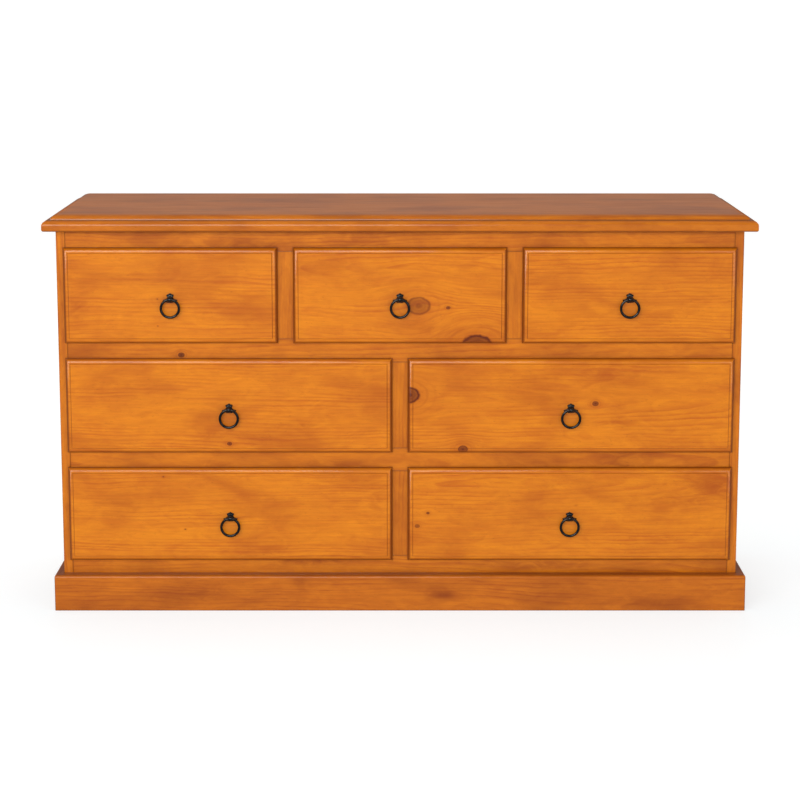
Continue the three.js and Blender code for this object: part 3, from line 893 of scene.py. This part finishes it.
def add_front(drawer, number):
    """Lipped drawer front: a flat field, a fine step, a rounded border and a square edge."""
    node = f"{drawer}_front"
    low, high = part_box(node)
    depth_back = (high.y - low.y) / MM
    profile = [
        (FRONT_BORDER + 1.2, 0.0),
        (FRONT_BORDER, 0.0),
        (FRONT_BORDER - 0.25, 0.25),
        (FRONT_BORDER - 0.8, FRONT_STEP),
    ]
    profile += quarter(FRONT_ROUND_INNER, FRONT_STEP, 0.0, FRONT_ROUND_DEPTH, 10)
    profile += [(0.0, depth_back - 0.6), (0.6, depth_back)]
    # Painted shade at each profile level: a dark line in the step's recess, then more and more shade over
    # the rounded border to its square outer edge, where it turns from the light and meets the frame.
    painted_shade_levels = [0.0, 0.0, 0.2, 0.45, 0.2, 0.0, 0.0, 0.03, 0.08, 0.2, 0.4, 0.65, 0.85, 1.0, 1.0, 1.0, 1.0]
    outlines = []
    for inset, depth in profile:
        y = low.y + depth * MM
        x0, x1 = low.x + inset * MM, high.x - inset * MM
        z0, z1 = low.z + inset * MM, high.z - inset * MM
        outlines.append([(x0, y, z0), (x1, y, z0), (x1, y, z1), (x0, y, z1)])
    figure = FIGURES[number - 1]
    width = high.x - low.x
    height = high.z - low.z
    knots = tuple((a * width, c * height, radius * MM, dark) for a, c, radius, dark in figure.knots)
    smudges = tuple(
        (a * width, c * height, half_length * MM, half_width * MM, strength)
        for a, c, half_length, half_width, strength in figure.smudges
    )
    board = board_at(node, (X, Z, Y), figure.pith, 100 + 7 * number, knots, smudges)
    material = pine(f"pine_{node}", board, HONEY)
    finish_piece(f"{node}_moulded", loft(outlines, painted_shade_levels), drawer, material, [node])


TAILS = 4
TAIL_SLOPE = 1.8 * MM


def tail_edges(low_z, high_z):
    """Heights of the joint lines up a corner: (narrow side, wide side) for each slanted line.
    The tails narrow towards the middle of their own wall."""
    pitch = (high_z - low_z) / TAILS
    half_pin = 5.0 * MM
    lines = []
    for i in range(TAILS):
        start = low_z + i * pitch
        lines.append((start + half_pin + TAIL_SLOPE, start + half_pin))
        lines.append((start + pitch - half_pin - TAIL_SLOPE, start + pitch - half_pin))
    return lines


def side_wall(x0, x1, y0, y1, z0, z1):
    """A drawer side with dovetails at both ends, as an outline in Y and Z run across X."""
    wall = BOX_WALL * MM
    lines = tail_edges(z0, z1)
    front = []
    for i in range(0, len(lines), 2):
        lower, upper = lines[i], lines[i + 1]
        front += [(y0 + wall, lower[0]), (y0, lower[1]), (y0, upper[1]), (y0 + wall, upper[0])]
    outline = [(y0 + wall, z0)] + front + [(y0 + wall, z1)]
    back = [(y1 + y0 - y, z) for y, z in reversed(outline)]
    loop = outline + back
    return loft([[(x, y, z) for y, z in loop] for x in (x0, x1)])


def end_wall(x0, x1, y0, y1, z0, z1, tails_at_low_y):
    """A drawer's front or back wall: the board between the sides, and the pins that fill them."""
    wall = BOX_WALL * MM
    gap = 0.15 * MM
    meshes = [loft([[(x, y0, z0), (x, y0, z1), (x, y1, z1), (x, y1, z0)] for x in (x0 + wall, x1 - wall)])]
    lines = tail_edges(z0, z1)
    bounds = [(z0, z0)] + [line for line in lines] + [(z1, z1)]
    for i in range(0, len(bounds), 2):
        low, high = bounds[i], bounds[i + 1]
        outer = 1 if tails_at_low_y else 0
        inner = 1 - outer
        at_y0 = (low[outer] + gap * (i > 0), high[outer] - gap * (i + 2 < len(bounds)))
        at_y1 = (low[inner] + gap * (i > 0), high[inner] - gap * (i + 2 < len(bounds)))
        for start, end in ((x0, x0 + wall), (x1 - wall, x1)):
            ring = [(y0, at_y0[0]), (y0, at_y0[1]), (y1, at_y1[1]), (y1, at_y1[0])]
            meshes.append(loft([[(x, y, z) for y, z in ring] for x in (start, end)]))
    return joined(meshes)


def add_box(drawer, number):
    """Dovetailed drawer box with a sheet bottom."""
    node = f"{drawer}_box"
    low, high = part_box(node)
    wall = BOX_WALL * MM
    sides = pine(f"pine_{drawer}_sides", board_at(node, (Y, Z, X), (0.11, 0.05, 0.05), 200 + number), RAW)
    ends = pine(f"pine_{drawer}_ends", board_at(node, (X, Z, Y), (-0.1, 0.05, 0.03), 300 + number), RAW)
    left = side_wall(low.x, low.x + wall, low.y, high.y, low.z, high.z)
    right = side_wall(high.x - wall, high.x, low.y, high.y, low.z, high.z)
    finish_piece(f"{drawer}_side_left", left, drawer, sides, [node])
    finish_piece(f"{drawer}_side_right", right, drawer, sides, [node])
    near = end_wall(low.x, high.x, low.y, low.y + wall, low.z, high.z, True)
    far = end_wall(low.x, high.x, high.y - wall, high.y, low.z, high.z, False)
    finish_piece(f"{drawer}_inner_front", near, drawer, ends, [node])
    finish_piece(f"{drawer}_back", far, drawer, ends, [node])
    panel_node = f"{drawer}_bottom"
    panel_low, panel_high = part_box(panel_node)
    panel_low.x, panel_low.y = low.x + wall - 0.2 * MM, low.y + wall - 0.2 * MM
    panel_high.x, panel_high.y = high.x - wall + 0.2 * MM, high.y - wall + 0.2 * MM
    panel = eased_board(panel_low, panel_high, 0.3 * MM)
    finish_piece(f"{drawer}_bottom_sheet", panel, drawer, PLY, [panel_node])


# ---------- ring pulls ----------

# Right half of the back plate's outline in millimetres from the eye, from its top point down:
# a three-pointed crown, a waist, a barbed side lobe and a shallow foot.
PLATE_HALF = (
    (0, 13.2), (2.3, 11.2), (5, 10.4), (8, 8.8), (7.2, 6.4), (5.8, 4),
    (7.6, 1.4), (11.6, -0.8), (15.6, -1.6), (14.6, -4.2), (11.6, -5.6), (8.8, -6.2),
    (6.4, -7.6), (3, -8.1),
)


def plate_outline():
    """The plate's whole outline with its corners cut once, as (x, z) in metres."""
    right = [Vector(point) * MM for point in PLATE_HALF]
    left = [Vector((-point.x, point.y)) for point in reversed(right[1:])]
    loop = right + left
    cut = []
    for i, point in enumerate(loop):
        following = loop[(i + 1) % len(loop)]
        cut.append(point.lerp(following, 0.2))
        cut.append(point.lerp(following, 0.8))
    return cut


def shrunk(outline, inset):
    """A counter-clockwise outline drawn in by a small distance along its corners' normals."""
    result = []
    for i, point in enumerate(outline):
        along = (outline[(i + 1) % len(outline)] - outline[i - 1]).normalized()
        result.append(point + Vector((-along.y, along.x)) * inset)
    return result


def plate_mesh():
    """Back plate with a rounded rim and a raised inner field."""
    outline = plate_outline()
    outline.reverse()
    thick = PLATE_THICKNESS * MM
    layers = [(0.0, 0.0), (0.0, thick * 0.55), (0.25 * MM, thick * 0.85), (0.8 * MM, thick)]
    outlines = []
    for inset, rise in layers:
        outlines.append([(p.x, -rise, p.y) for p in shrunk(outline, inset)])
    plate = loft(outlines)
    field = []
    crown = (
        (0.74, thick * 0.5),
        (0.72, thick + 0.25 * MM),
        (0.64, thick + 0.6 * MM),
        (0.4, thick + 0.8 * MM),
    )
    for share, rise in crown:
        field.append([(p.x * share, -rise, p.y * share) for p in outline])
    return [clean(plate), clean(loft(field))]


def clean(mesh):
    """The same mesh with its faces turned outward."""
    bm = bmesh.new()
    bm.from_mesh(mesh)
    return mesh_of(bm)


def eye_mesh(stand):
    """Ball eye, its hole along X widening outwards so that the curved wire turns in it."""
    steps = 16
    reach = EYE_RADIUS * EYE_STRETCH
    def hole(x):
        return EYE_HOLE + x * x / (2 * RING_RADIUS)
    def ball(x):
        return EYE_RADIUS * math.sqrt(max(0.0, 1 - (x / reach) ** 2))
    mouth = reach
    while ball(mouth) < hole(mouth):
        mouth -= 0.02
    profile = []
    for step in range(steps + 1):
        x = mouth * math.sin(math.pi * (step / steps - 0.5))
        profile.append((max(ball(x), hole(x)) * MM, x * MM))
    for step in range(steps - 1, 0, -1):
        x = mouth * (2 * step / steps - 1)
        profile.append((hole(x) * MM, x * MM))
    return lathe(profile, (0, -stand, 0), X, 40)


def casting_mesh(stand):
    """Plate, eye and neck as one casting, with the plate's back at the origin."""
    neck_front = -stand + 3.7 * MM
    neck = lathe(
        [
            (0.0, neck_front),
            (NECK_RADIUS * MM * 0.9, neck_front),
            (NECK_RADIUS * MM, neck_front + 1.2 * MM),
            (NECK_RADIUS * MM * 1.35, -PLATE_THICKNESS * MM - 0.4 * MM),
            (NECK_RADIUS * MM * 1.7, -PLATE_THICKNESS * MM * 0.5),
            (0.0, -PLATE_THICKNESS * MM * 0.5),
        ],
        (0, 0, 0),
        Y,
        28,
    )
    return joined(plate_mesh() + [neck, eye_mesh(stand)])


def ring_mesh(eye):
    """The ring: round wire with the faint unevenness of forged iron."""
    around, wire = 80, 20
    centre = Vector((eye.x, eye.y, eye.z - RING_RADIUS * MM))
    points = []
    for i in range(around):
        angle = 2 * math.pi * i / around
        out = Vector((math.sin(angle), 0, math.cos(angle)))
        for j in range(wire):
            turn = 2 * math.pi * j / wire
            rough = noise.noise(Vector((out.x * 4 + eye.x * 50, out.z * 4 + eye.z * 50, turn)))
            radius = (WIRE_RADIUS - 0.05 + 0.05 * rough) * MM
            normal = out * math.cos(turn) + Vector((0, math.sin(turn), 0))
            points.append(centre + out * RING_RADIUS * MM + normal * radius)
    faces = []
    for i in range(around):
        for j in range(wire):
            a = i * wire + j
            b = i * wire + (j + 1) % wire
            c = ((i + 1) % around) * wire + (j + 1) % wire
            d = ((i + 1) % around) * wire + j
            faces.append((a, d, c, b))
    return mesh_from(points, faces)


def thread_mesh(start, end):
    """The shank's thread as fine ridges."""
    pitch = 0.9 * MM
    radius = SHANK_RADIUS * MM
    profile = [(0.0, start), (radius * 0.9, start)]
    station = start
    while station + pitch < end:
        profile.append((radius, station + pitch / 2))
        profile.append((radius * 0.86, station + pitch))
        station += pitch
    profile.append((radius * 0.6, end))
    profile.append((0.0, end))
    return lathe(profile, (0, 0, 0), Y, 16)


def nut_mesh(start):
    """Hex nut with chamfered corners, and a washer under it."""
    across_corners = 5.2 * MM
    thickness = 3.6 * MM
    chamfer = 0.5 * MM
    bore = SHANK_RADIUS * MM * 0.97
    washer = lathe(
        [(bore, start), (6.2 * MM, start), (6.2 * MM, start + 0.9 * MM), (bore, start + 0.9 * MM)],
        (0, 0, 0),
        Y,
        28,
    )
    base = start + 0.9 * MM
    outlines = []
    sections = (
        (base, 0.93),
        (base + chamfer, 1.0),
        (base + thickness - chamfer, 1.0),
        (base + thickness, 0.93),
    )
    for station, share in sections:
        ring = []
        for corner in range(6):
            angle = math.pi / 3 * corner
            reach = across_corners * share
            ring.append((reach * math.cos(angle), station, reach * math.sin(angle)))
        outlines.append(ring)
    return [washer, clean(loft(outlines))]


def add_pull(drawer, number, casting):
    """One pull: its casting and fixing ride on the drawer, and its ring on a body of its own."""
    plate_node = f"{drawer}_pull_plate"
    ring_node = f"{drawer}_pull_ring"
    ring_low, ring_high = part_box(ring_node)
    eye = Vector((
        (ring_low.x + ring_high.x) / 2,
        (ring_low.y + ring_high.y) / 2,
        ring_high.z - WIRE_RADIUS * MM,
    ))
    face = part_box(f"{drawer}_front")[0].y
    foot = Vector((eye.x, face, eye.z))
    plate = shifted(casting, foot)
    finish_piece(f"{drawer}_plate_and_eye", plate, drawer, IRON, [plate_node], 50.0)
    ring = ring_mesh(eye)
    finish_piece(f"{drawer}_ring", ring, f"ring{number}", IRON, [ring_node])
    wall_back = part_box(f"{drawer}_box")[0].y + BOX_WALL * MM - face
    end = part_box(plate_node)[1].y - face
    fixing = joined([thread_mesh(wall_back - 2 * MM, end)] + nut_mesh(wall_back))
    finish_piece(f"{drawer}_shank_and_nut", shifted(fixing, foot), drawer, STEEL)


def add_screws(drawer):
    """Four pan-head screws from inside the box into the front."""
    low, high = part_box(f"{drawer}_box")
    y = low.y + BOX_WALL * MM
    inset_x, inset_z = 60 * MM, 35 * MM
    head = screw_head()
    heads = []
    for x in (low.x + inset_x, high.x - inset_x):
        for z in (low.z + inset_z, high.z - inset_z):
            heads.append(shifted(head, (x, y, z)))
    finish_piece(f"{drawer}_screws", joined(heads), drawer, STEEL)


def screw_head():
    """A pan head that faces +Y, with a cross recess as a shallow dimple."""
    profile = [(0.0, -1 * MM), (3.9 * MM, -1 * MM), (4.0 * MM, 0.6 * MM), (3.4 * MM, 1.7 * MM)]
    profile += [(2.2 * MM, 2.2 * MM), (1.2 * MM, 2.2 * MM), (0.5 * MM, 1.2 * MM), (0.0, 1.1 * MM)]
    return lathe(profile, (0, 0, 0), Y, 20)


# ---------- studio ----------

STUDIO_RADIUS = 11.0
STUDIO_SWEEP = 3.0
STUDIO_WALL = 3.4
FLOOR_GLOW_NEAR = 0.68
FLOOR_GLOW_FAR = 0.84
WORLD_STRENGTH = 0.18
# name, place, aim, (width, height), watts, whether gloss shows it
LAMPS = (
    ("softbox_key", (-1.3, -4.0, 2.2), (0.0, 0.0, 0.45), (3.4, 1.8), 104.0, True),
    ("softbox_fill", (2.6, -4.4, 1.6), (0.0, 0.0, 0.4), (1.8, 1.8), 24.0, True),
    ("softbox_top", (0.0, 0.2, 4.2), (0.0, 0.0, 0.0), (4.0, 3.0), 75.0, False),
    ("softbox_back", (0.0, 4.4, 2.8), (0.0, 0.0, 0.5), (3.0, 1.6), 80.0, False),
)


def add_studio():
    """A pale floor that curves up all round, and soft lamps above and in front."""
    profile = [0.0, 1.0, 2.0, 3.0, 4.5, 6.0, STUDIO_RADIUS - STUDIO_SWEEP]
    profile = [(r, 0.0) for r in profile]
    for step in range(1, 13):
        angle = math.pi / 2 * step / 12
        r = STUDIO_RADIUS - STUDIO_SWEEP * (1 - math.sin(angle))
        profile.append((r, STUDIO_SWEEP * (1 - math.cos(angle))))
    profile.append((STUDIO_RADIUS, STUDIO_WALL))
    segments = 96
    points = [(0.0, 0.0, 0.0)]
    faces = []
    for ring, (r, z) in enumerate(profile[1:]):
        for step in range(segments):
            angle = 2 * math.pi * step / segments
            points.append((r * math.cos(angle), r * math.sin(angle), z))
            here = 1 + ring * segments + step
            following = 1 + ring * segments + (step + 1) % segments
            if ring == 0:
                faces.append((0, here, following))
            else:
                faces.append((here - segments, here, following, following - segments))
    mesh = mesh_from(points, faces)
    mesh.shade_smooth()
    g = Graph("studio_pale")
    place = g.add("ShaderNodeTexCoord").outputs["Object"]
    length = g.add("ShaderNodeVectorMath", operation="LENGTH")
    g.feed(length.inputs[0], place)
    g.surface(
        Base_Color=g.mix(g.noise(place), (0.41, 0.41, 0.41, 1), (0.43, 0.43, 0.43, 1)),
        Roughness=0.9,
        Specular_IOR_Level=0.1,
        Emission_Color=g.mix(
            g.step(length.outputs["Value"], 0.6, 3.0), (0.95, 0.99, 1.0, 1), (1.0, 1.0, 1.0, 1)
        ),
        Emission_Strength=g.step(length.outputs["Value"], 1.0, 7.0, FLOOR_GLOW_NEAR, FLOOR_GLOW_FAR),
    )
    mesh.materials.append(g.material)
    floor = bpy.data.objects.new("studio_floor", mesh)
    scene.collection.objects.link(floor)
    floor.visible_glossy = False

    world = bpy.data.worlds.new("studio_world")
    world.use_nodes = True
    background = world.node_tree.nodes["Background"]
    background.inputs["Color"].default_value = (1.0, 1.0, 1.0, 1)
    background.inputs["Strength"].default_value = WORLD_STRENGTH
    scene.world = world

    for name, place, aim, size, power, glossy in LAMPS:
        data = bpy.data.lights.new(name, "AREA")
        data.shape = "RECTANGLE"
        data.size, data.size_y = size
        data.energy = power
        lamp = bpy.data.objects.new(name, data)
        lamp.visible_glossy = glossy
        lamp.visible_camera = False
        lamp.location = place
        lamp.rotation_mode = "QUATERNION"
        lamp.rotation_quaternion = (Vector(aim) - Vector(place)).to_track_quat("-Z", "Y")
        scene.collection.objects.link(lamp)


CAMERA_DISTANCE = 4.161
CAMERA_HEIGHT = 1.341
CAMERA_PITCH_DEGREES = 8.72
CAMERA_LENS = 90.26
CAMERA_SHIFT = -0.14


def add_camera():
    """A long lens above the top's height, dead ahead of the front."""
    pitch = math.radians(CAMERA_PITCH_DEGREES)
    data = bpy.data.cameras.new("camera")
    data.lens = CAMERA_LENS
    data.sensor_width = 36.0
    data.shift_y = CAMERA_SHIFT
    data.clip_start, data.clip_end = 0.1, 60.0
    camera = bpy.data.objects.new("camera", data)
    camera.location = (0.0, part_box("top_board")[0].y - CAMERA_DISTANCE, CAMERA_HEIGHT)
    camera.rotation_euler = (math.pi / 2 - pitch, 0.0, 0.0)
    scene.collection.objects.link(camera)
    scene.camera = camera


# ---------- build ----------

add_camera()
scene.view_settings.view_transform = "Standard"
PLY = plywood("plywood")
IRON = black_iron("black_iron")
STEEL = zinc_steel("zinc_steel")

add_top()
add_sides()
add_back()
add_frame()
add_runners()
add_plinth()

casting = casting_mesh(EYE_STANDOFF * MM)
for number in range(1, sum(ROWS) + 1):
    drawer = f"drawer{number}"
    add_front(drawer, number)
    add_box(drawer, number)
    add_pull(drawer, number, casting)
    add_screws(drawer)

add_studio()
